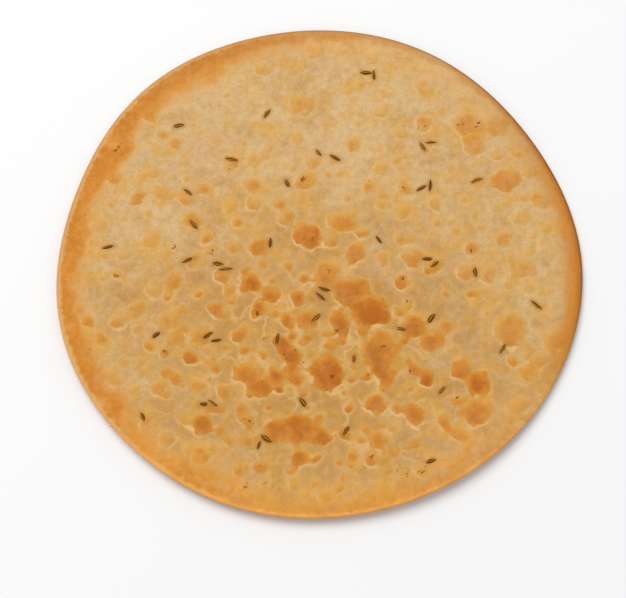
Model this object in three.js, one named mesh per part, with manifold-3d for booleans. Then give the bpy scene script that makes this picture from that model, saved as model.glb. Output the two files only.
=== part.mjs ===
// A khakhra: one thin, crisp, roasted flatbread with cumin seeds rolled into its dough.
// Millimetres, +Z up. The origin is the middle of the flat spot that the bread rests on,
// and +Y points away from someone who looks at it on a table.

import * as THREE from "three";
import { mergeVertices } from "three/addons/utils/BufferGeometryUtils.js";
import Module from "manifold-3d";

// Bread: a disc rolled out by hand, so its outline is a little off round.
const BREAD_DIAMETER = 200;
const BREAD_THICKNESS = 1.2;
const EDGE_ROUNDING = 0.35;
const FLAT_SPOT_RADIUS = 42;

// Waves round the turn: [waves per turn, height in mm, direction of the first crest in degrees].
const OUTLINE_WAVES = [
  [3, 0.8, -14],
  [5, 0.5, -12],
  [6, 0.4, 10],
];
const RIM_LIFT = 2.4;
const RIM_LIFT_WAVES = [
  [1, 0.9, 270],
  [2, 0.3, 90],
  [3, 0.4, 190],
  [7, 0.25, 300],
];

// One side of the rim droops again at its very edge.
const EDGE_DROOP = 1;
const EDGE_DROOP_WIDTH = 7;
const EDGE_DROOP_DIRECTION = 5;

// Toasted blisters that puffed up on the griddle: [x, y, radius], largest ones only.
// Each rises over the outer share of its radius and is flat on top.
const BLISTER_HEIGHT = 0.5;
const BLISTER_SLOPE_SHARE = 0.6;
const BLISTERS = [
  [-4, 11, 5],
  [10, 17, 4.5],
  [3, -5, 5.5],
  [12, -11, 6.5],
  [20, -19, 6.5],
  [8, -26, 4.5],
  [24, -35, 7.5],
  [25, -43, 4.5],
  [4, -44, 6.5],
  [-13, -34, 4.2],
  [-9, -38, 4.2],
  [-26, -9, 4.2],
  [-27, -45, 4.2],
  [-22, -49, 4],
  [-43, -65, 4.2],
  [-14, -67, 5],
  [-6, -66, 5.4],
  [2, -69, 4.2],
  [36, -25, 4.8],
  [43, -32, 4.2],
  [60, -59, 5.2],
  [60, -48, 4.2],
  [73, -27, 6.5],
  [73, 35, 5],
  [59, 60, 6],
  [70, 58, 5.5],
  [61, 50, 4.8],
  [-67, 64, 5],
  [89, -31, 4.5],
];

// Cumin seeds, laid on a sunflower spiral and shaken out of line. Some places hold two seeds,
// and the whole field lies a little towards the front.
const SEED_PLACES = 36;
const TWIN_EVERY = 4;
const TWIN_GAP = 3.6;
const SEED_LENGTH = 5.2;
const SEED_WIDTH = 1.8;
const SEED_DEPTH = 1.4;
const SEED_SINK = 0.12;
const SEED_SIZE_SPREAD = 0.2;
const SEED_FIELD_RADIUS = 83;
const SEED_FIELD_SHIFT = -6;
const SEED_SHAKE = 9;
const SEED_DRAW = 49031;
const GOLDEN_ANGLE = Math.PI * (3 - Math.sqrt(5));

// How finely the faces are split: rings of triangles from the middle to the edge.
const TOP_RINGS = 34;
const UNDER_RINGS = 12;
const RING_SIDES = 6;
const SEED_SIDES = 6;
const SEED_STEPS = 4;

const radians = THREE.MathUtils.degToRad;
const smoothstep = THREE.MathUtils.smoothstep;

// Sum of the waves at an angle round the bread.
function wavesAt(waves, angle) {
  return waves.reduce(
    (sum, [count, height, crest]) => sum + height * Math.cos(count * (angle - radians(crest))),
    0,
  );
}

function outlineRadius(angle) {
  return BREAD_DIAMETER / 2 + wavesAt(OUTLINE_WAVES, angle);
}

// Height of the underside: flat in the middle, then curling up towards an uneven rim.
function undersideHeight(x, y) {
  const angle = Math.atan2(y, x);
  const radius = Math.hypot(x, y);
  const edge = outlineRadius(angle);
  const share = Math.max(0, (radius - FLAT_SPOT_RADIUS) / (edge - FLAT_SPOT_RADIUS));
  const lift = RIM_LIFT + wavesAt(RIM_LIFT_WAVES, angle);
  const droop = EDGE_DROOP * Math.max(0, Math.cos(angle - radians(EDGE_DROOP_DIRECTION)));
  return share * share * lift - droop * smoothstep(radius, edge - EDGE_DROOP_WIDTH, edge);
}

function blisterHeight(x, y) {
  return BLISTERS.reduce((height, [bx, by, radius]) => {
    const inside = 1 - Math.hypot(x - bx, y - by) / radius;
    return Math.max(height, BLISTER_HEIGHT * smoothstep(inside, 0, BLISTER_SLOPE_SHARE));
  }, 0);
}

function topHeight(x, y) {
  return undersideHeight(x, y) + BREAD_THICKNESS + blisterHeight(x, y);
}

// Repeatable draws from 0 to 1, by a Lehmer generator.
function drawer(seed) {
  const multiplier = 48271;
  const modulus = 2147483647;
  let state = seed;
  return () => {
    state = (state * multiplier) % modulus;
    return state / modulus;
  };
}

// One ring of points round the bread, inset from its outline, with its height set by a rule.
function addRing(points, count, share, inset, heightAt) {
  const ring = [];
  for (let i = 0; i < count; i += 1) {
    const angle = (i / count) * 2 * Math.PI;
    const radius = share * (outlineRadius(angle) - inset);
    const x = radius * Math.cos(angle);
    const y = radius * Math.sin(angle);
    ring.push(points.length / 3);
    points.push(x, y, heightAt(x, y));
  }
  return ring;
}

// Triangles between two rings that both start at angle 0, whatever their counts.
function stitchRings(triangles, inner, outer) {
  let i = 0;
  let o = 0;
  while (i < inner.length || o < outer.length) {
    const innerPoint = inner[i % inner.length];
    const outerPoint = outer[o % outer.length];
    const stepOuter = (o + 1) / outer.length <= (i + 1) / inner.length;
    if (o < outer.length && (stepOuter || i >= inner.length)) {
      o += 1;
      triangles.push(innerPoint, outerPoint, outer[o % outer.length]);
    } else {
      i += 1;
      triangles.push(innerPoint, outerPoint, inner[i % inner.length]);
    }
  }
}

// Rings of one face, from its middle point outwards, each with one more side of points.
function faceRings(points, ringCount, heightAt) {
  const middle = points.length / 3;
  points.push(0, 0, heightAt(0, 0));
  const rings = [[middle]];
  for (let k = 1; k <= ringCount; k += 1) {
    rings.push(addRing(points, RING_SIDES * k, k / ringCount, EDGE_ROUNDING, heightAt));
  }
  return rings;
}

// The bread without its seeds: both faces, and a rounded edge between them.
function breadGeometry() {
  const points = [];
  const edgeHeight = (x, y) => undersideHeight(x, y) + BREAD_THICKNESS / 2;
  const under = faceRings(points, UNDER_RINGS, undersideHeight);
  const edge = addRing(points, RING_SIDES * TOP_RINGS, 1, 0, edgeHeight);
  const top = faceRings(points, TOP_RINGS, topHeight);

  const skin = [...under, edge, ...top.reverse()];
  const triangles = [];
  for (let k = 1; k < skin.length; k += 1) {
    stitchRings(triangles, skin[k], skin[k - 1]);
  }
  const geometry = new THREE.BufferGeometry();
  geometry.setAttribute("position", new THREE.Float32BufferAttribute(points, 3));
  geometry.setIndex(triangles);
  return geometry;
}

// One seed of unit size along X: a spindle with blunt ends.
function seedGeometry() {
  const profile = [];
  for (let k = 0; k <= SEED_STEPS; k += 1) {
    const t = (k / SEED_STEPS) * Math.PI;
    profile.push(new THREE.Vector2(Math.abs(Math.sin(t)) / 2, -Math.cos(t) / 2));
  }
  profile[0].x = 0;
  profile[SEED_STEPS].x = 0;
  return new THREE.LatheGeometry(profile, SEED_SIDES).rotateZ(-Math.PI / 2);
}

// One seed's heading and size, drawn for a place on the bread.
function drawnSeed(draw, x, y) {
  const spread = () => 1 + SEED_SIZE_SPREAD * (2 * draw() - 1);
  const heading = Math.PI * draw();
  const length = SEED_LENGTH * spread();
  const width = SEED_WIDTH * spread();
  return { x, y, heading, length, width };
}

// Where each seed lies: its middle, heading and size.
function seedPlaces() {
  const draw = drawer(SEED_DRAW);
  const shake = () => SEED_SHAKE * (2 * draw() - 1);
  const places = [];
  for (let i = 0; i < SEED_PLACES; i += 1) {
    const radius = SEED_FIELD_RADIUS * Math.sqrt((i + 0.5) / SEED_PLACES);
    const angle = i * GOLDEN_ANGLE;
    const x = radius * Math.cos(angle) + shake();
    const y = radius * Math.sin(angle) + SEED_FIELD_SHIFT + shake();
    places.push(drawnSeed(draw, x, y));
    if (i % TWIN_EVERY === 0) {
      const side = 2 * Math.PI * draw();
      places.push(drawnSeed(draw, x + TWIN_GAP * Math.cos(side), y + TWIN_GAP * Math.sin(side)));
    }
  }
  return places;
}

const wasm = await Module();
wasm.setup();

// A closed three.js geometry as a manifold solid.
function solidOf(geometry) {
  const bare = geometry.clone();
  bare.deleteAttribute("normal");
  bare.deleteAttribute("uv");
  const merged = mergeVertices(bare);
  return new wasm.Manifold(
    new wasm.Mesh({
      numProp: 3,
      vertProperties: merged.attributes.position.array,
      triVerts: new Uint32Array(merged.index.array),
    }),
  );
}

function geometryOf(solid) {
  const mesh = solid.getMesh();
  const geometry = new THREE.BufferGeometry();
  geometry.setAttribute("position", new THREE.BufferAttribute(mesh.vertProperties, 3));
  geometry.setIndex(new THREE.BufferAttribute(mesh.triVerts, 1));
  geometry.computeVertexNormals();
  return geometry;
}

// The bread with its seeds fused into the top, each sunk a little in the dough.
function seededBread() {
  const seed = seedGeometry();
  let bread = solidOf(breadGeometry());
  for (const { x, y, heading, length, width } of seedPlaces()) {
    const placed = seed
      .clone()
      .scale(length, width, SEED_DEPTH)
      .rotateZ(heading)
      .translate(x, y, topHeight(x, y) - SEED_SINK);
    bread = bread.add(solidOf(placed));
  }
  return geometryOf(bread);
}

const toastedDough = new THREE.MeshStandardMaterial({
  color: new THREE.Color("rgb(210, 160, 95)"),
  roughness: 0.7,
  metalness: 0,
});

const khakhra = new THREE.Mesh(seededBread(), toastedDough);
khakhra.name = "khakhra";

const part = new THREE.Group();
part.name = "khakhra_part";
part.add(khakhra);

export default part;
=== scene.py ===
"""Dress a khakhra: a thin roasted flatbread with toasted blisters and cumin seeds.

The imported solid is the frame. The bread and its seeds are made at the same size and place,
by the same rules, with the finer relief and the colours that the solid leaves out.
"""

import math
from functools import partialmethod

import bpy
import numpy as np
from bpy.props import FloatProperty, FloatVectorProperty, IntProperty, PointerProperty
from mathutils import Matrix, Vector, noise


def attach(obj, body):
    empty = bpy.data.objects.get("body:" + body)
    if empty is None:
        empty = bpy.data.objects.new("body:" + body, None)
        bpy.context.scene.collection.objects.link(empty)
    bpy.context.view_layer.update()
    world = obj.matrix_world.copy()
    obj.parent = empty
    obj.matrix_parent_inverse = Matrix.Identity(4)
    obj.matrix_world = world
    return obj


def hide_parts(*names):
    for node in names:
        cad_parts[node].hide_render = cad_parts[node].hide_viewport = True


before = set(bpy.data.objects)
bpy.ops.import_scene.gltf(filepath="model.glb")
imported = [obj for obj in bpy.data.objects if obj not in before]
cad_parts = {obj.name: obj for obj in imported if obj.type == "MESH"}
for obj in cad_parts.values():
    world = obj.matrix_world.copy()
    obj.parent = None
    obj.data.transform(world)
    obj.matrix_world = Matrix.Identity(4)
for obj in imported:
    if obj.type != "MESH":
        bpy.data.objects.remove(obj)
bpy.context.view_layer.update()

bl_info = {
    "name": "Khakhra",
    "version": (1, 0, 0),
    "blender": (4, 5, 0),
    "location": "View3D > Sidebar > Khakhra",
    "description": "Makes a roasted flatbread with cumin seeds over its packed solid",
    "category": "Object",
}

NODE = "khakhra"
BODY = "root"
BREAD_NAME = "khakhra_bread"
SEEDS_NAME = "cumin_seeds"
MM = 0.001

# Rules that the solid follows too. A wave is its count per turn, its height in mm and the
# direction of its first crest in degrees.
OUTLINE_WAVES = ((3, 0.8, -14), (5, 0.5, -12), (6, 0.4, 10))
RIM_LIFT_WAVES = ((1, 0.9, 270), (2, 0.3, 90), (3, 0.4, 190), (7, 0.25, 300))
EDGE_DROOP_DIRECTION = 5
GOLDEN_ANGLE = math.pi * (3 - math.sqrt(5))
SEED_DRAW = 49031

# How finely the bread is split: rings from its middle to its edge, and round the edge.
TOP_RINGS = 142
UNDER_RINGS = 56
EDGE_RINGS = 5
RING_SIDES = 6

# Where the griddle roasted most: the middle of that place, and how far it reaches, in mm.
ROAST_MIDDLE = (2, -40)
ROAST_REACH = (62, 48)

# Toasted blisters as they lie on the bread: x, y and radius in mm, and how brown each is.
LARGE_BLISTERS = (
    (-4, 11, 5, 0.8), (10, 17, 4.5, 0.55), (3, -5, 5.5, 0.55), (12, -11, 6.5, 0.65),
    (20, -19, 6.5, 0.85), (8, -26, 4.5, 0.7), (24, -35, 7.5, 0.58), (25, -43, 4.5, 0.7),
    (4, -44, 6.5, 0.8), (-13, -34, 4.2, 0.85), (-9, -38, 4.2, 0.8), (-26, -9, 4.2, 0.85),
    (-27, -45, 4.2, 0.7), (-22, -49, 4, 0.7), (-43, -65, 4.2, 0.7), (-14, -67, 5, 0.7),
    (-6, -66, 5.4, 0.75), (2, -69, 4.2, 0.7), (36, -25, 4.8, 0.65), (43, -32, 4.2, 0.6),
    (60, -59, 5.2, 0.6), (60, -48, 4.2, 0.85), (73, -27, 6.5, 0.4), (73, 35, 5, 0.55),
    (59, 60, 6, 0.45), (70, 58, 5.5, 0.4), (61, 50, 4.8, 0.45), (-67, 64, 5, 0.5),
    (89, -31, 4.5, 0.5),
)
MIDDLE_BLISTERS = (
    (-81, 34, 3.1, 0.6), (-70, 26, 3.1, 0.6), (-35, 23, 2.7, 0.35), (-8, 67, 4.8, 0.3),
    (-22, 82, 3.2, 0.3), (86, 27, 3.1, 0.45), (14, 3, 3.5, 0.6), (14, 50, 3.2, 0.4),
    (34, 31, 2.7, 0.45), (32, -8, 3.1, 0.65), (58, 5, 2.7, 0.5), (57, -3, 2.7, 0.55),
    (47, 0, 2.7, 0.45), (36, 2, 3.5, 0.5), (78, 19, 3.9, 0.3), (78, -1, 4.6, 0.25),
    (-3, -23, 3.4, 0.5), (41, -46, 3, 0.9), (54, -42, 3.7, 0.7), (52, -55, 3, 0.6),
    (22, -56, 3.7, 0.65), (37, -61, 3.7, 0.65), (47, -64, 3, 0.7), (53, -68, 2.9, 0.55),
    (23, -71, 3.3, 0.55), (75, -57, 3.3, 0.3), (-47, -38, 3.4, 0.75), (-9, -45, 3, 0.65),
    (-18, -14, 3.4, 0.8), (-39, -20, 3, 0.6), (-87, -26, 3, 0.75), (-81, -32, 2.3, 0.6),
    (-21, -80, 2.6, 0.6), (-28, -82, 2.2, 0.55), (-34, -52, 3, 0.4),
)

# Small blisters, thrown at random where the others leave room, mostly small ones by the bias.
# Where it roasted most, more of them stay and they are browner.
SMALL_BLISTER_DRAW = 7451
UNDER_BLISTER_DRAW = 3307
SMALL_BLISTER_TRIES = 2200
SMALL_BLISTER_RADII = (0.9, 3.8)
SMALL_BLISTER_BIAS = 1.3
SMALL_BLISTER_TOAST = 0.12
TOAST_SPREAD = 0.4
TOAST_BY_ROAST = 0.35
LEAST_CHANCE = 0.1
BLISTER_GAP = 0.7
BLISTER_FIELD_RADIUS = 93

# Near blisters melt into each other over this length in mm.
BLISTER_BLEND = 1.2

# The side of a blister with the crisp edge, the clearest pale line and the painted shade: the front, a
# little left. Inside this share of the radius it fades out.
FRONT = np.array((-0.4, -0.92))
FRONT_SOFTNESS = 0.6

# Noise that pushes the dough about: feature size and strength in mm, and slices for x and y.
# Noise that frays the blisters: feature size in mm and share of the radius, up to a limit.
BLISTER_WARPS = ((14, 2.2), (5, 1))
WARP_SLICES = (0, 40)
BLISTER_FRAYS = ((6, 0.5), (2, 0.12))
FRAY_LIMIT = 4

# Dark specks: some blisters have one scorched heart, others a sprinkle of small specks. They
# reach over a share of the blister's radius. Radii are in mm.
SPECK_DRAW = 5113
SPECK_ROAST_FLOOR = 0.2
HEART_SHARE = 0.2
HEART_ROOM = 1.8
HEART_REACH = 0.5
HEART_RADII = (0.5, 0.9)
SPRINKLE_SHARE = 0.09
SPRINKLE_COUNT = 6
SPRINKLE_REACH = 0.9
SPRINKLE_RADII = (0.2, 0.45)

# Relief of the faces, in mm: feature sizes of its noise, and where each part of it fades in.
# On the underside, as shares: what blisters keep of their height, and how far crumb is lifted.
SWELL_SIZE = 26
CRUMB_SIZE = 2.6
BLISTER_SLOPE = (-0.8, 2.2)
GATHER_FADE = (1.6, 0)
RELIEF_FADE = (0.6, 3)
UNDER_BLISTER_SHARE = 0.5
UNDER_CRUMB_LIFT = 0.3

# Cells with uneven outlines: their size, then the feature size and strength of the noise that
# nudges them, all in mm, and the shifts of that noise for x and y.
WALL_CELLS = (11, 7, 7, (0.21, 0.47))
FAINT_BLISTER_CELLS = (8, 6, 5, (0.63, 0.19))
WALL_GAP_SIZE = 13
WALL_GAP_SHIFT = 0.83
PEPPER_CELL_SIZE = 5

# Noises that the dough's colours follow: feature size in mm, layers of detail, and a shift.
DOUGH_NOISES = {
    "cloud": (28, 2, 0), "cast": (24, 2, 0.37), "amber": (10, 3, 0.71), "patch": (9, 3, 0.91),
    "blotch": (7, 3, 0.31), "flush": (6, 3, 0.57), "mottle": (2.6, 3, 0), "grain": (0.9, 1, 0),
    "crumb": (0.4, 2, 0.13),
}

# One seed, as shares of its size: how full along its length, how fat, how high its ridges, how
# far bent and shifted back. The size of its knots is in mm.
SEED_FULLNESS = 0.9
SEED_FATNESS = 0.46
RIDGE_HEIGHT = 0.07
SEED_BEND = 0.1
SEED_BEND_SHIFT = 0.04
KNOT_SIZE = 1.2

# Each seed starts this high over the bread, in mm, and is rolled by up to so many degrees.
SEED_START_HEIGHT = 20
SEED_ROLL = 36

# Stage, in metres, but the floor's drop in mm. The floor lies a little under the bread, so that
# the two faces don't fall together.
KEY_LIGHT_PLACE = (-0.75, 0.85, 1.9)
KEY_LIGHT_SIZE = 1.6
FLOOR_REACH = 6.0
FLOOR_DROP = 0.05


def srgb(*screen):
    """A screen colour, 0 to 255, in the linear values that shaders take."""
    def linear(share):
        return share / 12.92 if share <= 0.04045 else ((share + 0.055) / 1.055) ** 2.4
    return tuple(linear(value / 255) for value in screen)


def amount(name, description, number):
    """A whole number that the user can change."""
    return IntProperty(name=name, description=description, default=number)


def number(name, description, value, **kind):
    """A number that the user can change, of a unit or subtype."""
    return FloatProperty(name=name, description=description, default=value, **kind)


def length(name, description, millimetres):
    """A size that the user can change, given in mm."""
    return number(name, description, millimetres * MM, unit="LENGTH", precision=5)


def colour(name, description, *screen):
    """A colour that the user can change, given as on a screen."""
    return FloatVectorProperty(
        name=name, description=description, default=srgb(*screen), subtype="COLOR", min=0, max=1
    )


class BreadSettings(bpy.types.PropertyGroup):
    """Sizes and colours of the flatbread."""

    diameter: length("Diameter", "Width across the rolled disc", 200)
    thickness: length("Thickness", "Thickness of the dough", 1.2)
    flat_spot: length("Flat spot", "Radius of the part of the underside that lies flat", 42)
    rim_lift: length("Rim lift", "Mean height of the rim over the table", 2.4)
    edge_droop: length("Edge droop", "How far one side of the rim bends down again", 1)
    droop_width: length("Droop width", "Width of the drooping edge", 7)
    blister_height: length("Blister height", "How far a toasted blister stands up", 0.5)
    wall_height: length("Wall height", "Height of the thin walls between crowded blisters", 0.09)
    gather: length("Gather", "How far the dough is gathered up round a seed", 0.08)
    swell: length("Swell", "Height of the slow swells in the top face", 0.25)
    grain: length("Grain", "Height of the fine crumb in both faces", 0.2)
    dough_pale: colour("Pale dough", "Dough that hardly roasted", 220, 184, 129)
    dough_tan: colour("Tan dough", "Dough that roasted a little", 195, 144, 79)
    dough_rosy: colour("Rosy dough", "Dough with a rosy cast", 216, 177, 131)
    dough_grey: colour("Grey dough", "Dough with a duller cast", 190, 147, 96)
    # Painted shade on the fine crumb, darker roasted dough, and the stain with painted shadow round the
    # seeds.
    dark_dough_and_shade: colour("Dark grain", "Dark side of the grain, and dough round seeds", 168, 126, 66)
    # Painted highlights on the fine crumb, and the paler dough round blisters.
    bright_dough_and_highlight: colour("Bright grain", "Bright side of the fine grain", 242, 206, 152)
    dough_amber: colour("Amber dough", "Dough with a golden wash", 221, 167, 84)
    # Pale lines of unbrowned dough, and on the front of blisters also a painted highlight.
    pale_line_and_highlight: colour("Halo", "Thin pale lines round blisters and along the rim", 230, 186, 124)
    toast_light: colour("Light toast", "Least toasted blisters", 219, 160, 66)
    toast_golden: colour("Golden toast", "Toasted blisters", 212, 131, 33)
    toast_brown: colour("Brown toast", "Most toasted blisters", 184, 94, 8)
    rim_gold: colour("Golden rim", "Band of oiled, roasted dough along the rim", 212, 134, 42)
    rim_light: colour("Light rim", "Softer wash of gold inside that band", 229, 162, 68)
    rim_brown: colour("Brown rim", "Browner patches and edges of the rim", 184, 114, 42)
    # Brighter patches of the rim's own colour, and the painted highlight of the lip along the front
    # edge.
    bright_rim_and_lip_highlight: colour("Bright lip", "Brighter patches of the rim and its lip in front", 246, 172, 86)
    # The speck colour also paints the line of shade along the right and back edge.
    speck: colour("Speck", "Scorched specks and the dark line along the edge", 132, 64, 6)


class SeedSettings(bpy.types.PropertyGroup):
    """Sizes and colours of the cumin seeds."""

    places: amount("Places", "Places on the spiral that hold seeds", 36)
    twin_every: amount("Twin every", "One place in so many holds two", 4)
    twin_gap: length("Twin gap", "Distance between the two seeds of a place", 3.6)
    seed_length: length("Length", "Length of a seed", 5.2)
    seed_width: length("Width", "Width of a seed", 1.8)
    seed_depth: length("Depth", "Depth of a seed", 1.4)
    sink: length("Sink", "How far a seed's middle lies under the dough gathered round it", 0.2)
    spread: number("Spread", "Share by which sizes differ", 0.2, subtype="FACTOR")
    field_radius: length("Field radius", "Radius of the spiral of seeds", 83)
    field_shift: length("Field shift", "How far the field lies towards the back", -6)
    shake: length("Shake", "How far a seed may lie from its place", 9)
    sides: amount("Sides", "Points round a seed", 30)
    rings: amount("Rings", "Points along a seed", 12)
    ridges: amount("Ridges", "Ridges along a seed", 5)
    knots: length("Knots", "How far a seed's skin is pushed out of shape", 0.4)
    furrow: colour("Furrow", "Dark ground between the ridges", 103, 50, 2)
    ridge: colour("Ridge", "Pale ridges of a seed", 182, 124, 38)


class StageSettings(bpy.types.PropertyGroup):
    """Camera, light and floor."""

    lens: number("Lens", "Focal length", 85, unit="CAMERA")
    distance: length("Distance", "From the camera to the middle of the bread", 568.2)
    elevation: number("Elevation", "Angle of the camera", math.radians(69.02), subtype="ANGLE")
    aim: FloatVectorProperty(
        name="Aim",
        description="Point that the camera looks at",
        default=(-1.84 * MM, -14.65 * MM, 0),
        subtype="TRANSLATION",
        precision=5,
    )
    key_power: number("Key light", "Power of the large soft light", 29, unit="POWER")
    fill: number("Fill light", "Strength of the light all round", 0.55)
    floor: colour("Floor", "Plain pale floor", 252, 252, 252)


# Sizes that the form trees take as inputs, and the socket for each kind of value.
BREAD_SIZES = (
    "thickness", "flat_spot", "rim_lift", "edge_droop", "droop_width",
    "blister_height", "wall_height", "gather", "swell", "grain",
)
SEED_SIZES = ("seed_depth", "sink", "knots", "sides", "rings", "ridges")
SOCKETS = {
    float: "NodeSocketFloat",
    int: "NodeSocketInt",
    bpy.types.Object: "NodeSocketObject",
    bpy.types.Material: "NodeSocketMaterial",
}


# Formulas in nodes


def feed(socket, value):
    """Link a field or a socket into an input, or set its own value."""
    if isinstance(value, Field):
        socket.id_data.links.new(value.socket, socket)
    elif isinstance(value, bpy.types.NodeSocket):
        socket.id_data.links.new(value, socket)
    else:
        socket.default_value = value


def add_node(tree, kind, inputs=None, **settings):
    """A new node with its settings and its inputs."""
    node = tree.nodes.new(kind)
    for name, value in settings.items():
        setattr(node, name, value)
    for name, value in (inputs or {}).items():
        feed(node.inputs[name], value)
    return node


class Field:
    """A node's output that can stand in a formula, so that a tree reads like its rule."""

    def __init__(self, socket):
        self.tree = socket.id_data
        self.socket = socket

    def math(self, operation, *others):
        """What a math node makes of this field and others."""
        node = add_node(self.tree, "ShaderNodeMath", operation=operation)
        for socket, value in zip(node.inputs, (self, *others)):
            feed(socket, value)
        return Field(node.outputs[0])

    __add__ = __radd__ = partialmethod(math, "ADD")
    __mul__ = __rmul__ = partialmethod(math, "MULTIPLY")
    __sub__ = partialmethod(math, "SUBTRACT")
    __truediv__ = partialmethod(math, "DIVIDE")

    def __rsub__(self, other):
        return self * -1 + other

    def step(self, start, end):
        """A smooth step from 0 at start to 1 at end, whichever is larger."""
        inputs = {"Value": self, "From Min": start, "From Max": end}
        node = add_node(self.tree, "ShaderNodeMapRange", inputs, interpolation_type="SMOOTHSTEP")
        return Field(node.outputs["Result"])

    def fade(self, start, end):
        """A smooth step along a length in mm."""
        return self.step(start * MM, end * MM)

    def strip(self, rise, fall):
        """A smooth step up and one down again along a length in mm."""
        return self.fade(*rise) * (1 - self.fade(*fall))

    def ragged(self, *pushes):
        """A length pushed about by other fields, each with its strength in mm."""
        pushed = self
        for field, strength in pushes:
            pushed = pushed + field * (strength * MM)
        return pushed

    def clamp(self):
        """The field kept from 0 to 1."""
        return self.math("MAXIMUM", 0).math("MINIMUM", 1)


def split(vector):
    """The three parts of a vector."""
    node = add_node(vector.id_data, "ShaderNodeSeparateXYZ", {"Vector": vector})
    return [Field(socket) for socket in node.outputs]


def join(tree, x, y, z):
    """A vector from its three parts."""
    return add_node(tree, "ShaderNodeCombineXYZ", {"X": x, "Y": y, "Z": z}).outputs[0]


def noise_field(place, size, detail=2, shift=0):
    """Noise about 0 over the bread's face, with features of a size in mm."""
    tree = place.id_data
    moved = add_node(tree, "ShaderNodeVectorMath", operation="ADD")
    feed(moved.inputs[0], place)
    feed(moved.inputs[1], (shift, -shift, 0))
    inputs = {"Vector": moved.outputs[0], "Scale": 1 / (size * MM), "Detail": detail}
    node = add_node(tree, "ShaderNodeTexNoise", inputs, noise_dimensions="2D")
    return Field(node.outputs[0]) - 0.5


def nudged(place, size, strength, shifts):
    """A place pushed about by noise of a feature size and strength in mm."""
    x, y, _ = split(place)
    push = [noise_field(place, size, shift=shift) * (strength * MM) for shift in shifts]
    return join(place.id_data, x + push[0], y + push[1], 0)


def cell_field(place, size, feature):
    """Cells of a size in mm over the bread's face."""
    settings = {"voronoi_dimensions": "2D", "feature": feature}
    inputs = {"Vector": place, "Scale": 1 / (size * MM)}
    return add_node(place.id_data, "ShaderNodeTexVoronoi", inputs, **settings)


def drawn_cells(place, size):
    """Distance to the nearest cell's middle, in cell sizes, and three draws for that cell."""
    cells = cell_field(place, size, "F1")
    drawn = add_node(place.id_data, "ShaderNodeSeparateColor", {"Color": cells.outputs["Color"]})
    return Field(cells.outputs["Distance"]), [Field(socket) for socket in drawn.outputs]


def mix_colour(share, first, second):
    """A colour between two others."""
    node = add_node(share.tree, "ShaderNodeMix", data_type="RGBA")
    sockets = {socket.identifier: socket for socket in node.inputs}
    feed(sockets["Factor_Float"], share)
    for name, value in (("A_Color", first), ("B_Color", second)):
        is_socket = isinstance(value, bpy.types.NodeSocket)
        feed(sockets[name], value if is_socket else (*value, 1))
    return next(socket for socket in node.outputs if socket.identifier == "Result_Color")


def stored(tree, name):
    """A number stored on the points of the tree's piece."""
    if tree.bl_idname == "GeometryNodeTree":
        node = add_node(tree, "GeometryNodeInputNamedAttribute", {"Name": name}, data_type="FLOAT")
        return Field(node.outputs["Attribute"])
    return Field(add_node(tree, "ShaderNodeAttribute", attribute_name=name).outputs["Fac"])


def store(tree, geometry, name, kind, value):
    """A geometry with a value stored on its points."""
    inputs = {"Geometry": geometry, "Name": name, "Value": value}
    return add_node(tree, "GeometryNodeStoreNamedAttribute", inputs, data_type=kind).outputs[0]


def form_values(settings, sizes, **others):
    """What a form tree is given, by label: sizes from the settings, and others."""
    values = {size.replace("_", " ").title(): getattr(settings, size) for size in sizes}
    return {**values, **others}


def new_form(name, values):
    """A geometry tree with an input for each value, those inputs' fields, and its output."""
    tree = bpy.data.node_groups.new(name, "GeometryNodeTree")
    tree.interface.new_socket("Geometry", in_out="INPUT", socket_type="NodeSocketGeometry")
    for label, value in values.items():
        tree.interface.new_socket(label, in_out="INPUT", socket_type=SOCKETS[type(value)])
    tree.interface.new_socket("Geometry", in_out="OUTPUT", socket_type="NodeSocketGeometry")
    given = add_node(tree, "NodeGroupInput")
    result = add_node(tree, "NodeGroupOutput")
    fields = {socket.name: Field(socket) for socket in given.outputs if socket.name}
    return tree, fields, result.inputs["Geometry"]


def finish_form(tree, given, geometry, push, result):
    """End a tree: one real mesh, its points pushed, shaded smooth, in its material."""
    steps = {
        "GeometryNodeRealizeInstances": {},
        "GeometryNodeSetPosition": {"Offset": push},
        "GeometryNodeSetShadeSmooth": {},
        "GeometryNodeSetMaterial": {"Material": given["Material"]},
    }
    for kind, inputs in steps.items():
        geometry = add_node(tree, kind, {"Geometry": geometry, **inputs}).outputs[0]
    feed(result, geometry)


def apply_form(piece, tree, values):
    """Run a geometry tree on a piece and keep the result as its plain mesh."""
    modifier = piece.modifiers.new(tree.name, "NODES")
    modifier.node_group = tree
    for item in tree.interface.items_tree:
        if item.in_out == "INPUT" and item.name in values:
            modifier[item.identifier] = values[item.name]
    graph = bpy.context.evaluated_depsgraph_get()
    evaluated = piece.evaluated_get(graph)
    mesh = bpy.data.meshes.new_from_object(evaluated, preserve_all_data_layers=True, depsgraph=graph)
    piece.modifiers.remove(modifier)
    blank = piece.data
    mesh.name = piece.name
    piece.data = mesh
    bpy.data.meshes.remove(blank)


def new_piece(name, points, faces, **numbers):
    """An object from arrays, with numbers stored on its points."""
    mesh = bpy.data.meshes.new(name)
    mesh.from_pydata(points, [], faces)
    for label, values in numbers.items():
        attribute = mesh.attributes.new(label, "FLOAT", "POINT")
        attribute.data.foreach_set("value", np.asarray(values, np.float32))
    piece = bpy.data.objects.new(name, mesh)
    bpy.context.scene.collection.objects.link(piece)
    return piece


def new_material(name):
    """A material with its tree and its surface shader."""
    material = bpy.data.materials.new(name)
    material.use_nodes = True
    tree = material.node_tree
    return material, tree, tree.nodes["Principled BSDF"]


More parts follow.
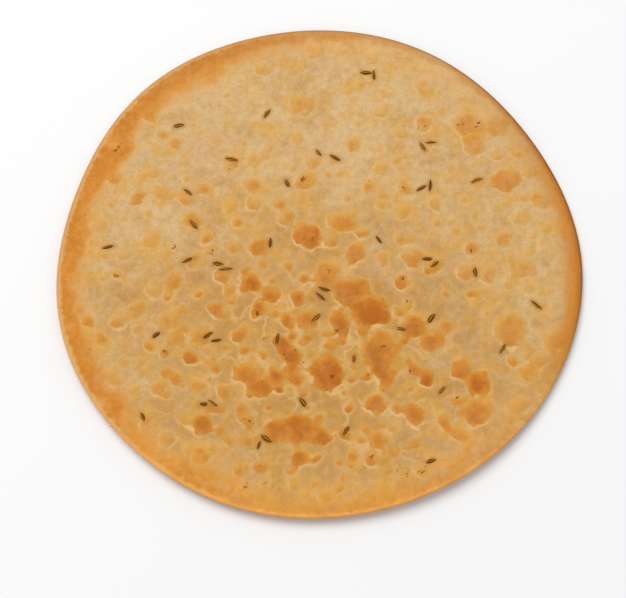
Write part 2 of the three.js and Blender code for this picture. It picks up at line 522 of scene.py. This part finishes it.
def finish_surface(tree, shader, surface, roughness, relief, **bump):
    """Give a shader its colour, its roughness and its fine bumps."""
    bumps = add_node(tree, "ShaderNodeBump", {"Height": relief, **bump})
    feed(shader.inputs["Base Color"], surface)
    feed(shader.inputs["Roughness"], roughness)
    feed(shader.inputs["Normal"], bumps.outputs[0])


# Rules of the bread


def drawer(seed):
    """Repeatable draws from 0 to 1, by a Lehmer generator."""
    multiplier = 48271
    modulus = 2147483647
    state = seed
    while True:
        state = state * multiplier % modulus
        yield state / modulus


def wave_sum(waves, angle):
    """Sum of the waves at an angle round the bread, in metres."""
    heights = (height * np.cos(count * (angle - math.radians(crest))) for count, height, crest in waves)
    return MM * sum(heights)


def roast_at(x, y):
    """How strongly the griddle roasted a place in mm, from 0 to 1."""
    across = (x - ROAST_MIDDLE[0]) / ROAST_REACH[0]
    along = (y - ROAST_MIDDLE[1]) / ROAST_REACH[1]
    return np.exp(-(across**2) - along**2)


def small_blisters(draw_seed, taken):
    """The taken blisters, and small ones in the room that they leave."""
    draw = drawer(draw_seed)
    placed = list(taken)
    lowest, highest = SMALL_BLISTER_RADII
    for _ in range(SMALL_BLISTER_TRIES):
        radius = BLISTER_FIELD_RADIUS * math.sqrt(next(draw))
        angle = 2 * math.pi * next(draw)
        size = lowest + (highest - lowest) * next(draw) ** SMALL_BLISTER_BIAS
        toast = SMALL_BLISTER_TOAST + TOAST_SPREAD * next(draw)
        chance = next(draw)
        x = radius * math.cos(angle)
        y = radius * math.sin(angle)
        roast = roast_at(x, y)
        room = size + BLISTER_GAP
        apart = all(math.hypot(x - bx, y - by) > room + br for bx, by, br, _ in placed)
        if apart and chance < LEAST_CHANCE + (1 - LEAST_CHANCE) * roast:
            placed.append((x, y, size, toast + TOAST_BY_ROAST * roast))
    return placed


def warped(points):
    """Places in mm pushed about by noise, so that round blisters come out ragged."""
    moved = points.copy()
    for size, strength in BLISTER_WARPS:
        for axis, slice_height in enumerate(WARP_SLICES):
            samples = (noise.noise(Vector((x / size, y / size, slice_height))) for x, y in points)
            moved[:, axis] += strength * np.fromiter(samples, float, len(points))
    return moved


def blister_numbers(points, blisters):
    """Depth inside the blisters for each place in mm, with their radius, toast and front.

    Near blisters melt into each other, so each counts by how deep inside it the place lies.
    """
    total, size, toast, front = np.zeros((4, len(points)))
    places = warped(points)
    for x, y, radius, brown in blisters:
        across = places - (x, y)
        distance = np.hypot(across[:, 0], across[:, 1])
        weight = np.exp((radius - distance) / BLISTER_BLEND)
        total += weight
        size += weight * radius
        toast += weight * brown
        front += weight * (across @ FRONT) / np.maximum(distance, FRONT_SOFTNESS * radius)
    return {
        "blister": BLISTER_BLEND * MM * np.log(total),
        "size": MM * size / total,
        "toast": toast / total,
        "front": front / total,
    }


def dark_specks(blisters):
    """Scorched specks, most where it roasted most: x, y and radius in mm."""
    draw = drawer(SPECK_DRAW)
    specks = []

    def add_speck(blister, reach, radii):
        x, y, radius, _ = blister
        off = reach * radius * math.sqrt(next(draw))
        turn = 2 * math.pi * next(draw)
        size = radii[0] + (radii[1] - radii[0]) * next(draw)
        specks.append((x + off * math.cos(turn), y + off * math.sin(turn), size))

    for blister in blisters:
        chance = next(draw) / (SPECK_ROAST_FLOOR + roast_at(*blister[:2]))
        if chance < HEART_SHARE and blister[2] > HEART_ROOM:
            add_speck(blister, HEART_REACH, HEART_RADII)
        elif HEART_SHARE < chance < HEART_SHARE + SPRINKLE_SHARE:
            for _ in range(SPRINKLE_COUNT):
                add_speck(blister, SPRINKLE_REACH, SPRINKLE_RADII)
    return specks


def speck_depth(points, specks):
    """Depth inside the nearest speck for each place in mm, in metres."""
    depth = np.full(len(points), -BLISTER_FIELD_RADIUS, float)
    for x, y, radius in specks:
        depth = np.maximum(depth, radius - np.hypot(points[:, 0] - x, points[:, 1] - y))
    return depth * MM


def face_numbers(points, draw_seed, known):
    """What a face's blisters and specks are at each place in mm."""
    blisters = small_blisters(draw_seed, known)
    specks = dark_specks(blisters)
    return {**blister_numbers(points, blisters), "speck": speck_depth(points, specks)}


def seed_rows(settings):
    """Each seed's place, heading, length and width, by the solid's own rule."""
    draw = drawer(SEED_DRAW)
    rows = []

    def spread():
        return 1 + settings.spread * (2 * next(draw) - 1)

    def shake():
        return settings.shake * (2 * next(draw) - 1)

    def add_seed(x, y):
        heading = math.pi * next(draw)
        seed_length = settings.seed_length * spread()
        seed_width = settings.seed_width * spread()
        rows.append((x, y, heading, seed_length, seed_width))

    for i in range(settings.places):
        radius = settings.field_radius * math.sqrt((i + 0.5) / settings.places)
        angle = i * GOLDEN_ANGLE
        x = radius * math.cos(angle) + shake()
        y = radius * math.sin(angle) + settings.field_shift + shake()
        add_seed(x, y)
        if i % settings.twin_every == 0:
            side = 2 * math.pi * next(draw)
            add_seed(x + settings.twin_gap * math.cos(side), y + settings.twin_gap * math.sin(side))
    return rows


def seed_nearness(points, rows):
    """Distance to the nearest seed for each place, in metres, below 0 inside it."""
    nearest = np.full(len(points), 1.0)
    for x, y, heading, seed_length, seed_width in rows:
        across = points - (x, y)
        forward = np.array((math.cos(heading), math.sin(heading)))
        reach = (seed_length - seed_width) / 2
        along = np.clip(across @ forward, -reach, reach)
        distance = np.linalg.norm(across - along[:, None] * forward, axis=1)
        nearest = np.minimum(nearest, distance - seed_width / 2)
    return nearest


# The flatbread


def stitch_rings(faces, inner, outer):
    """Triangles between two rings of points that both start at angle 0, whatever their counts.

    A ring of one point has no sides, so a step along it gives no triangle.
    """
    i = 0
    o = 0
    while i < len(inner) or o < len(outer):
        inner_point = inner[i % len(inner)]
        outer_point = outer[o % len(outer)]
        outer_is_next = (o + 1) * len(inner) <= (i + 1) * len(outer)
        if o < len(outer) and (outer_is_next or i >= len(inner)):
            o += 1
            face = (inner_point, outer_point, outer[o % len(outer)])
        else:
            i += 1
            face = (inner_point, outer_point, inner[i % len(inner)])
        if len(set(face)) == len(face):
            faces.append(face)


def bread_rings(settings):
    """Rings of the flat blank, from the middle of its underside to the middle of its top.

    Each is a count of points, a share of the radius, an inset from the outline, and a side: 0 on
    the underside, 1 on the top, and between them round the edge.
    """
    rounding = settings.thickness / 2
    rings = [(1, 0, 0, 0)]
    rings += [(RING_SIDES * k, k / UNDER_RINGS, rounding, 0) for k in range(1, UNDER_RINGS + 1)]
    for k in range(1, EDGE_RINGS + 1):
        turn = math.pi * (k / (EDGE_RINGS + 1) - 0.5)
        inset = rounding * (1 - math.cos(turn))
        rings.append((RING_SIDES * TOP_RINGS, 1, inset, 0.5 + math.sin(turn) / 2))
    rings += [(RING_SIDES * k, k / TOP_RINGS, rounding, 1) for k in range(TOP_RINGS, 0, -1)]
    return rings + [(1, 0, 0, 1)]


def flat_disc(settings):
    """Points and triangles of the blank, with each point's distance to the edge and its side."""
    points = []
    edges = []
    sides = []
    rings = []
    for count, share, inset, side in bread_rings(settings):
        angle = np.arange(count) * 2 * math.pi / count
        outline = settings.diameter / 2 + wave_sum(OUTLINE_WAVES, angle)
        radius = share * (outline - inset)
        ring = np.stack([radius * np.cos(angle), radius * np.sin(angle), np.zeros(count)], axis=1)
        rings.append(list(range(len(points), len(points) + count)))
        points += ring.tolist()
        edges += (outline - radius).tolist()
        sides += [side] * count
    faces = []
    for below, above in zip(rings, rings[1:]):
        stitch_rings(faces, above, below)
    return points, faces, edges, sides


def bread_blank(settings, seeds):
    """The flat disc, with the numbers that its form and its colours follow."""
    points, faces, edges, sides = flat_disc(settings)
    places = np.array(points)[:, :2] / MM
    on_top = np.array(sides) > 0
    above = face_numbers(places, SMALL_BLISTER_DRAW, [*LARGE_BLISTERS, *MIDDLE_BLISTERS])
    above["seed"] = seed_nearness(places * MM, seeds)
    below = face_numbers(places, UNDER_BLISTER_DRAW, [])
    below["seed"] = np.ones(len(places))
    numbers = {name: np.where(on_top, above[name], below[name]) for name in above}
    roast = roast_at(places[:, 0], places[:, 1])
    return new_piece(BREAD_NAME, points, faces, edge=edges, side=sides, roast=roast, **numbers)


def frayed_blister(tree, place):
    """Depth inside the blisters, with their edges frayed by noise, large ones most."""
    depth = stored(tree, "blister")
    size = stored(tree, "size").math("MINIMUM", FRAY_LIMIT * MM)
    for feature, share in BLISTER_FRAYS:
        depth = depth + noise_field(place, feature, shift=feature) * size * (2 * share)
    return depth


def wall_network(tree, place):
    """Thin walls of dough between crowded blisters, from 0 to 1."""
    size, *nudge = WALL_CELLS
    cells = cell_field(nudged(place, *nudge), size, "DISTANCE_TO_EDGE")
    line = 1 - Field(cells.outputs["Distance"]).step(0.02, 0.1)
    broken = noise_field(place, WALL_GAP_SIZE, shift=WALL_GAP_SHIFT).step(-0.06, 0.1)
    return line * broken * stored(tree, "roast").step(0.25, 0.8)


def faint_blisters(tree, place):
    """Soft ovals of dough that hardly blistered, from 0 to 1."""
    size, *nudge = FAINT_BLISTER_CELLS
    off_middle, (strength, bigness, _) = drawn_cells(nudged(place, *nudge), size)
    inside = (bigness * 0.3 + 0.25 - off_middle).step(0, 0.15)
    return inside * (strength * 1.6 - 0.4).clamp()


def curled_underside(tree, given, place):
    """Height of the underside: flat in the middle, then curling up towards an uneven rim."""
    x, y, _ = split(place)
    angle = y.math("ARCTAN2", x)
    radius = (x * x + y * y).math("SQRT")
    edge = stored(tree, "edge")
    rim = radius + edge
    share = ((radius - given["Flat Spot"]) / (rim - given["Flat Spot"])).math("MAXIMUM", 0)
    lift = given["Rim Lift"]
    for count, height, crest in RIM_LIFT_WAVES:
        lift = lift + (angle * count - count * math.radians(crest)).math("COSINE") * (height * MM)
    droop = (angle - math.radians(EDGE_DROOP_DIRECTION)).math("COSINE").math("MAXIMUM", 0)
    droop = droop * given["Edge Droop"] * (1 - edge.step(0, given["Droop Width"]))
    return share * share * lift - droop


def face_relief(tree, given, place, side):
    """What stands up on the two faces: blisters, walls, swells and crumb."""
    blister = frayed_blister(tree, place).fade(*BLISTER_SLOPE) * given["Blister Height"]
    walls = wall_network(tree, place) * given["Wall Height"]
    gather = stored(tree, "seed").fade(*GATHER_FADE) * given["Gather"]
    swell = noise_field(place, SWELL_SIZE) * given["Swell"]
    grain = noise_field(place, CRUMB_SIZE, detail=3) * given["Grain"]
    inside = stored(tree, "edge").fade(*RELIEF_FADE)
    top = (blister + walls + gather + swell + grain) * inside * side.math("FLOOR")
    under = blister * UNDER_BLISTER_SHARE + grain + given["Grain"] * UNDER_CRUMB_LIFT
    return top + under * inside * (1 - side.math("CEIL"))


def bread_form(values):
    """Tree that curls the blank, thickens it and raises its blisters."""
    tree, given, result = new_form("bread_form", values)
    place = add_node(tree, "GeometryNodeInputPosition").outputs[0]
    side = stored(tree, "side")
    height = curled_underside(tree, given, place) + side * given["Thickness"]
    height = height + face_relief(tree, given, place, side)
    finish_form(tree, given, given["Geometry"], join(tree, 0, 0, height), result)
    return tree


# The colours of the dough


class Dough:
    """The colour of the dough, laid on coat by coat, and the fields that its coats follow.

    Fades are in mm, along the depth inside a blister or the distance from the bread's edge.
    """

    def __init__(self, tree, ground):
        self.tree = tree
        self.surface = ground
        self.place = add_node(tree, "ShaderNodeTexCoord").outputs["Object"]
        x, y, _ = split(self.place)
        radius = (x * x + y * y).math("SQRT").math("MAXIMUM", MM)
        self.rightness = x / radius
        self.frontness = y / radius * -1
        self.depth = frayed_blister(tree, self.place)
        for name in ("toast", "front", "size", "edge", "roast", "seed", "speck"):
            setattr(self, name, stored(tree, name))
        for name, (size, detail, shift) in DOUGH_NOISES.items():
            setattr(self, name, noise_field(self.place, size, detail, shift))

    def coat(self, share, paint):
        """Lay a share of a colour over the surface."""
        self.surface = mix_colour(share, self.surface, paint)


def coat_ground(dough, settings):
    """Dough between the blisters: pale to tan, with rosy, dull and golden casts."""
    roast = dough.roast
    tan = dough.cloud + dough.blotch * 1.2 + dough.mottle * 0.2 + roast * 1.1
    dough.coat(tan.step(-0.32, 0.75), settings.dough_tan)
    flush = dough.flush + dough.mottle * 0.15
    dough.coat(flush.step(0, 0.22) * (0.5 - roast * 0.25), settings.dough_rosy)
    dough.coat(flush.step(-0.01, -0.22) * (roast * 0.75 + 0.15), settings.dough_grey)
    amber = (dough.amber + dough.mottle * 0.15 + roast * 0.06).step(0, 0.2) * 0.8
    dough.coat(amber.math("MAXIMUM", roast * 0.2), settings.dough_amber)
    cast = dough.cast + dough.mottle * 0.2
    dough.coat(cast.step(0.02, 0.25) * (roast * 0.45 + 0.2), settings.dough_amber)
    dough.coat(cast.step(-0.02, -0.25) * 0.4, settings.dough_rosy)


def coat_grain(dough, settings):
    """Faint blisters, and painted shade and highlight on the fine crumb, darker where it roasted most.
    """
    faint = faint_blisters(dough.tree, dough.place)
    dough.coat(faint * (dough.roast * 0.6 + 0.25), settings.toast_light)
    # Painted light and shade of the crumb's relief, which the soft light hardly shows; roasting also
    # darkens it.
    fine = dough.mottle * 0.6 + dough.grain * 0.4 + dough.crumb * 0.4 + dough.roast * 0.3
    dough.coat(fine.clamp(), settings.dark_dough_and_shade)
    dough.coat((fine * -1).clamp(), settings.bright_dough_and_highlight)


def coat_blister_edges(dough, settings):
    """Round each blister a glow, patches of brighter dough and a broken pale line of unbrowned dough,
    brightest in front as a painted highlight.
    """
    roast = dough.roast
    glow = (dough.toast * 0.5 + roast * 0.1 + dough.blotch * 1.4).clamp()
    glow = dough.depth.fade(-3.5, 0.5) * glow * (1 - dough.front.step(-0.3, 0.6) * 0.6)
    dough.coat(glow, settings.toast_light)
    surround = dough.depth.strip((-2.4, -0.9), (-0.5, 0.5))
    surround = surround * (dough.blotch * 2 + roast * 0.2 + 0.1).clamp() * 0.25
    dough.coat(surround, settings.bright_dough_and_highlight)
    # The pale line is unbrowned dough, and on the front side also a painted highlight where the
    # blister's wall catches light.
    ring = dough.depth.strip((-1, -0.6), (-0.3, 0.15)) * (dough.front.step(-0.5, 0.6) * 0.65 + 0.3)
    ring = ring * (dough.blotch * 3 + dough.cloud * 1.5 + roast * 0.4 + 0.25).clamp()
    ring = ring * (dough.size.fade(0.8, 3) * 0.6 + 0.4)
    walls = wall_network(dough.tree, dough.place) * 0.55
    dough.coat(ring.math("MAXIMUM", walls), settings.pale_line_and_highlight)


def coat_toast(dough, settings):
    """Toast on the blisters, browner towards their hearts, browner on their front side as painted
    shade, and with a crisp edge in front.
    """
    front = dough.front
    heart = dough.depth.fade(-0.5, 3) * 0.45
    # The front term is painted shade: each blister's front slope, turned from the light, comes out
    # browner.
    brown = dough.toast + heart + front * 0.12 + dough.roast * 0.18 - 0.34
    brown = brown + dough.blotch * 0.9 + dough.mottle * 0.4 + dough.grain * 0.2
    paint = mix_colour(brown.step(0.15, 0.65), settings.toast_light, settings.toast_golden)
    paint = mix_colour(brown.step(0.55, 1.2), paint, settings.toast_brown)
    crispness = (front * 0.9 - dough.cloud).step(-0.5, 0.3)
    softness = 1.9 * MM - crispness * (1.5 * MM)
    cover = (dough.depth / softness).step(-0.5, 0.9) * (dough.toast * 0.6 + 0.35).clamp()
    dough.coat(cover, paint)


def coat_seed_stains_and_shadows(dough, settings):
    """Darker dough round the seeds: partly an oil stain, partly painted contact shadow."""
    stain_and_shadow = dough.seed.ragged((dough.mottle, 0.8)).fade(1.1, 0) * 0.35
    dough.coat(stain_and_shadow, settings.dark_dough_and_shade)


def coat_rim_band(dough, settings):
    """A wash and a patchy band of gold along the rim, weak at the right and the back."""
    frontness = dough.frontness
    weak_side = (dough.rightness * 0.9 - frontness.math("MINIMUM", 0.3) * 0.4).step(-0.1, 0.75)
    gaps = (dough.patch + dough.rightness * 0.05 + frontness * 0.06).step(0.03, 0.22)
    wander = dough.edge.ragged((dough.cloud, 14), (dough.blotch, 9), (dough.mottle, 4))
    wash = wander.fade(17, 4) * (1 - weak_side * 0.7) * (0.6 - gaps * 0.3)
    dough.coat(wash, settings.rim_light)
    ends = frontness.math("ABSOLUTE").step(0.5, 1)
    band = wander.fade(11, 5) * (1 - weak_side * 0.85)
    band = band * (dough.mottle * 1.2 + 0.95 - ends * 0.2).clamp() * (1 - gaps * 0.75)
    lightness = (frontness + dough.cloud).step(0.5, 1) * 0.8
    dough.coat(band, mix_colour(lightness, settings.rim_gold, settings.rim_light))
    shade = dough.mottle * 0.4 + dough.grain * 0.3 + dough.blotch * 0.6 - dough.patch * 1.1
    dough.coat(band * shade.clamp(), settings.rim_brown)
    dough.coat(band * (shade * -1).clamp(), settings.bright_rim_and_lip_highlight)


def coat_rim_back(dough, settings):
    """A brown band along the back of the rim, with a pale strip inside its right half."""
    at_back = dough.frontness.step(-0.5, -0.85)
    edge = dough.edge.ragged((dough.blotch, 8), (dough.mottle, 3), (dough.rightness, 2.5))
    strip = edge.strip((4, 6), (7, 14)) * at_back
    strip = strip * dough.rightness.step(-0.35, 0.15) * (dough.patch * 2.5 + 0.5).clamp()
    dough.coat(strip * 0.6, settings.pale_line_and_highlight)
    dough.coat(edge.fade(6, 3) * at_back * 0.36, settings.rim_brown)


def coat_rim_lips(dough, settings):
    """A pale lip along the left, and a golden groove with a painted highlight as a bright lip along the
    front.
    """
    edge = dough.edge.ragged((dough.mottle, 2))
    dough.coat(edge.fade(2.4, 1.2) * dough.rightness.step(0.1, -0.8) * 0.6, settings.pale_line_and_highlight)
    in_front = dough.frontness.step(0.45, 0.95)
    groove = dough.edge.ragged((dough.blotch, 5)).fade(6, 3) * in_front
    groove = groove * (dough.patch * 3 + 0.3).clamp()
    dough.coat(groove * 0.8, settings.rim_gold)
    # Painted highlight: the front edge, turned from the light, is painted bright as if it caught it.
    lip = edge.fade(2, 0.9) * in_front * (0.6 - dough.blotch * 1.5).clamp()
    dough.coat(lip, settings.bright_rim_and_lip_highlight)


def coat_rim_right(dough, settings):
    """The drooping right side: dull, then golden, then brown, with a dark line of painted shade along
    the edge, also at the back.
    """
    rightness = dough.rightness
    not_front = dough.frontness.step(0.6, 0)
    edge = dough.edge.ragged((dough.blotch, 6), (dough.mottle, 3))
    dull = edge.fade(12, 4) * rightness.step(0.5, 0.85) * not_front * 0.25
    dough.coat(dull, settings.dough_grey)
    golden = edge.fade(8, 3) * rightness.step(0.82, 0.99) * 0.85
    dough.coat(golden, settings.rim_gold)
    brown = dough.edge.ragged((dough.mottle, 2)).fade(3.6, 0.8)
    brown = brown * rightness.step(0.4, 0.9) * not_front * 0.9
    dough.coat(brown, settings.rim_brown)
    # Painted shade: a dark line along the thin edge where it turns from the light, most on the right,
    # less at the back.
    shaded_edge_side = rightness.step(-0.4, 1) * 0.45 * not_front + dough.frontness.step(0.3, -0.3) * 0.2
    line = dough.edge.ragged((dough.mottle, 0.8)).fade(1.4, 0.3) * shaded_edge_side
    dough.coat(line, settings.speck)


def coat_specks(dough, settings):
    """Ragged scorched specks inside some blisters, and a pepper of tiny ones all over."""
    scorch = dough.speck.ragged((dough.mottle, 1), (dough.grain, 1.6)).fade(-0.2, 0.35)
    dough.coat(scorch * (dough.grain * 1.2 + 0.75).clamp(), settings.speck)
    off_middle, draws = drawn_cells(dough.place, PEPPER_CELL_SIZE)
    chance, bigness, darkness = draws
    dot = (off_middle - bigness * 0.05 + dough.mottle * 0.12).step(0.03, 0)
    pepper = dot * (chance + dough.roast * 0.08).step(0.94, 0.95)
    dough.coat(pepper * (darkness * 0.5 + 0.2), settings.speck)


# From the first coat to the last.
DOUGH_COATS = (
    coat_ground, coat_grain, coat_blister_edges, coat_toast, coat_seed_stains_and_shadows,
    coat_rim_band, coat_rim_back, coat_rim_lips, coat_rim_right, coat_specks,
)


def dough_material(settings):
    """Roasted dough: mottled, toasted on its blisters, golden along its rim."""
    material, tree, shader = new_material("toasted_dough")
    dough = Dough(tree, settings.dough_pale)
    for lay_coats in DOUGH_COATS:
        lay_coats(dough, settings)
    roughness = (dough.grain * 0.3 + dough.mottle * 0.2 + 0.62).clamp()
    relief = dough.crumb * 0.3 + dough.grain * 0.6 + dough.mottle
    finish_surface(tree, shader, dough.surface, roughness, relief, Strength=0.7, Distance=0.3 * MM)
    shader.inputs["Specular IOR Level"].default_value = 0.15
    return material


class KHAKHRA_OT_make_bread(bpy.types.Operator):
    """Make the flatbread from a flat blank and a form tree"""

    bl_idname = "khakhra.make_bread"
    bl_label = "Make flatbread"

    def execute(self, context):
        settings = context.scene.khakhra_bread
        bread = bread_blank(settings, seed_rows(context.scene.khakhra_seeds))
        values = form_values(settings, BREAD_SIZES, Material=dough_material(settings))
        apply_form(bread, bread_form(values), values)
        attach(bread, BODY)
        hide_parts(NODE)
        return {"FINISHED"}


# The cumin seeds


def seed_places(settings):
    """A piece with one point over the bread for each seed."""
    rows = seed_rows(settings)
    x, y, heading, seed_length, seed_width = np.array(rows).T
    points = np.stack([x, y, np.full(len(rows), SEED_START_HEIGHT * MM)], axis=1).tolist()
    tint = [noise.cell(Vector((k + 0.5, 0.5, 0.5))) for k in range(len(rows))]
    most = math.radians(SEED_ROLL)
    roll = [most * noise.cell(Vector((k + 0.5, 1.5, 0.5))) for k in range(len(rows))]
    numbers = {"heading": heading, "seed_length": seed_length, "seed_width": seed_width}
    return new_piece(SEEDS_NAME, points, [], **numbers, tint=tint, roll=roll)


def seed_shape(tree, given):
    """One seed of unit size along X, with its ridges and its own places stored on it."""
    inputs = {"Segments": given["Sides"], "Rings": given["Rings"]}
    ball = add_node(tree, "GeometryNodeMeshUVSphere", inputs)
    own = add_node(tree, "GeometryNodeInputPosition").outputs[0]
    x, y, along = split(own)
    around = y.math("ARCTAN2", x)
    ridge = ((around - math.pi / 2) * given["Ridges"]).math("COSINE")
    belly = 1 - along * along
    fullness = belly.math("MAXIMUM", 0).math("POWER", SEED_FULLNESS)
    fat = fullness * (ridge * RIDGE_HEIGHT + SEED_FATNESS)
    sideways = fat * around.math("COSINE") + belly * SEED_BEND - SEED_BEND_SHIFT
    upwards = fat * around.math("SINE")
    marked = store(tree, ball.outputs["Mesh"], "ridge", "FLOAT", ridge)
    marked = store(tree, marked, "own", "FLOAT_VECTOR", own)
    inputs = {"Geometry": marked, "Position": join(tree, along * 0.5, sideways, upwards)}
    return add_node(tree, "GeometryNodeSetPosition", inputs).outputs[0]


def laid_places(tree, given):
    """The seeds' points dropped on the bread, with each one's lean stored on it."""
    target = add_node(tree, "GeometryNodeObjectInfo", {"Object": given["Bread"]})
    inputs = {"Target Geometry": target.outputs["Geometry"], "Ray Direction": (0, 0, -1)}
    ray = add_node(tree, "GeometryNodeRaycast", inputs)
    turned = add_node(tree, "FunctionNodeAxisAngleToRotation", {"Angle": stored(tree, "heading")})
    inputs = {"Rotation": turned.outputs[0], "Vector": ray.outputs["Hit Normal"]}
    leant = add_node(tree, "FunctionNodeAlignRotationToVector", inputs, axis="Z")
    kept = store(tree, given["Geometry"], "lean", "QUATERNION", leant.outputs[0])
    x, y, z = split(ray.outputs["Hit Position"])
    inputs = {"Geometry": kept, "Position": join(tree, x, y, z - given["Sink"])}
    return add_node(tree, "GeometryNodeSetPosition", inputs).outputs[0]


def seed_turn(tree):
    """How a seed lies: leant on the bread, then rolled about its own length."""
    lean = add_node(tree, "GeometryNodeInputNamedAttribute", {"Name": "lean"}, data_type="QUATERNION")
    inputs = {"Axis": (1, 0, 0), "Angle": stored(tree, "roll")}
    roll = add_node(tree, "FunctionNodeAxisAngleToRotation", inputs)
    inputs = {"Rotation": lean.outputs["Attribute"], "Rotate By": roll.outputs[0]}
    return add_node(tree, "FunctionNodeRotateRotation", inputs, rotation_space="LOCAL").outputs[0]


def knot_push(tree, given):
    """Small pushes by noise that knot each seed out of shape."""
    knots = add_node(tree, "ShaderNodeTexNoise", {"Scale": 1 / (KNOT_SIZE * MM), "Detail": 1})
    off = add_node(tree, "ShaderNodeVectorMath", operation="SUBTRACT")
    feed(off.inputs[0], knots.outputs["Color"])
    feed(off.inputs[1], (0.5, 0.5, 0.5))
    push = add_node(tree, "ShaderNodeVectorMath", {"Scale": given["Knots"]}, operation="SCALE")
    feed(push.inputs[0], off.outputs[0])
    return push.outputs[0]


def seed_form(values):
    """Tree that shapes one seed and lays it on the bread at every place."""
    tree, given, result = new_form("seed_form", values)
    sizes = join(tree, stored(tree, "seed_length"), stored(tree, "seed_width"), given["Seed Depth"])
    inputs = {
        "Points": laid_places(tree, given),
        "Instance": seed_shape(tree, given),
        "Rotation": seed_turn(tree),
        "Scale": sizes,
    }
    seeds = add_node(tree, "GeometryNodeInstanceOnPoints", inputs)
    finish_form(tree, given, seeds.outputs[0], knot_push(tree, given), result)
    return tree


def seed_material(settings):
    """Cumin: dark furrows and paler ridges, streaked, each seed a little different."""
    material, tree, shader = new_material("cumin_seed")
    tint = stored(tree, "tint")
    own = add_node(tree, "ShaderNodeAttribute", attribute_name="own").outputs["Vector"]
    x, y, along = split(own)
    streak_place = join(tree, x * 4, y * 4, along + tint * 30)
    streaks = add_node(tree, "ShaderNodeTexNoise", {"Vector": streak_place}).outputs[0]
    streaks = Field(streaks) - 0.5
    tips = (along * along).step(0.7, 1)
    pale = stored(tree, "ridge") + streaks * 1.8 + tips * 0.5 + tint * 0.4 + 0.1
    surface = mix_colour(pale.step(-0.5, 1.1), settings.furrow, settings.ridge)
    roughness = (streaks * 0.4 + 0.6).clamp()
    finish_surface(tree, shader, surface, roughness, streaks, Strength=0.4, Distance=0.2 * MM)
    shader.inputs["Specular IOR Level"].default_value = 0.04
    return material


class KHAKHRA_OT_make_seeds(bpy.types.Operator):
    """Lay the cumin seeds on the flatbread"""

    bl_idname = "khakhra.make_seeds"
    bl_label = "Make cumin seeds"

    def execute(self, context):
        settings = context.scene.khakhra_seeds
        seeds = seed_places(settings)
        bread = bpy.data.objects[BREAD_NAME]
        values = form_values(settings, SEED_SIZES, Bread=bread, Material=seed_material(settings))
        apply_form(seeds, seed_form(values), values)
        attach(seeds, BODY)
        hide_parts(NODE)
        return {"FINISHED"}


# The stage


def aimed(name, data, place, target):
    """An object at a place that looks at a target."""
    thing = bpy.data.objects.new(name, data)
    thing.location = place
    thing.rotation_euler = (Vector(target) - Vector(place)).to_track_quat("-Z", "Y").to_euler()
    bpy.context.scene.collection.objects.link(thing)
    return thing


def place_camera(settings):
    """The camera at the photograph's angle."""
    data = bpy.data.cameras.new("photo_camera")
    data.lens = settings.lens
    data.sensor_width = 36
    eye = settings.distance * Vector((0, -math.cos(settings.elevation), math.sin(settings.elevation)))
    bpy.context.scene.camera = aimed("photo_camera", data, eye, settings.aim)


def place_lights(settings):
    """One large soft light from the back and left, and even light all round."""
    data = bpy.data.lights.new("key_light", "AREA")
    data.energy = settings.key_power
    data.size = KEY_LIGHT_SIZE
    aimed("key_light", data, KEY_LIGHT_PLACE, (0, 0, 0))
    world = bpy.data.worlds.new("studio")
    world.use_nodes = True
    background = world.node_tree.nodes["Background"]
    background.inputs["Color"].default_value = (1, 1, 1, 1)
    background.inputs["Strength"].default_value = settings.fill
    bpy.context.scene.world = world


def floor_material(settings):
    """Plain, pale and without gloss."""
    material, _, shader = new_material("pale_floor")
    shader.inputs["Base Color"].default_value = (*settings.floor, 1)
    shader.inputs["Roughness"].default_value = 0.9
    shader.inputs["Specular IOR Level"].default_value = 0
    return material


def lay_floor(settings):
    """A plain pale floor under the bread."""
    turns = ((-1, -1), (1, -1), (1, 1), (-1, 1))
    corners = [(x * FLOOR_REACH, y * FLOOR_REACH, -FLOOR_DROP * MM) for x, y in turns]
    floor = new_piece("floor", corners, [(0, 1, 2, 3)])
    floor.data.materials.append(floor_material(settings))


class KHAKHRA_OT_set_stage(bpy.types.Operator):
    """Set the camera, the lights and the floor"""

    bl_idname = "khakhra.set_stage"
    bl_label = "Set stage"

    def execute(self, context):
        settings = context.scene.khakhra_stage
        place_camera(settings)
        place_lights(settings)
        lay_floor(settings)
        context.scene.view_settings.view_transform = "Standard"
        return {"FINISHED"}


# Each step: the name of its settings in the scene, their group and its operator.
STEPS = (
    ("khakhra_bread", BreadSettings, KHAKHRA_OT_make_bread),
    ("khakhra_seeds", SeedSettings, KHAKHRA_OT_make_seeds),
    ("khakhra_stage", StageSettings, KHAKHRA_OT_set_stage),
)


class KHAKHRA_PT_maker(bpy.types.Panel):
    """Sizes, colours and steps of the khakhra"""

    bl_idname = "KHAKHRA_PT_maker"
    bl_label = "Khakhra"
    bl_space_type = "VIEW_3D"
    bl_region_type = "UI"
    bl_category = "Khakhra"

    def draw(self, context):
        for name, _, operator in STEPS:
            settings = getattr(context.scene, name)
            box = self.layout.box()
            box.operator(operator.bl_idname)
            for setting in settings.__annotations__:
                box.prop(settings, setting)


def register():
    for name, group, operator in STEPS:
        bpy.utils.register_class(group)
        bpy.utils.register_class(operator)
        setattr(bpy.types.Scene, name, PointerProperty(type=group))
    bpy.utils.register_class(KHAKHRA_PT_maker)


def unregister():
    bpy.utils.unregister_class(KHAKHRA_PT_maker)
    for name, group, operator in reversed(STEPS):
        delattr(bpy.types.Scene, name)
        bpy.utils.unregister_class(operator)
        bpy.utils.unregister_class(group)


def main():
    register()
    bpy.ops.khakhra.make_bread()
    bpy.ops.khakhra.make_seeds()
    bpy.ops.khakhra.set_stage()


if __name__ == "__main__":
    main()
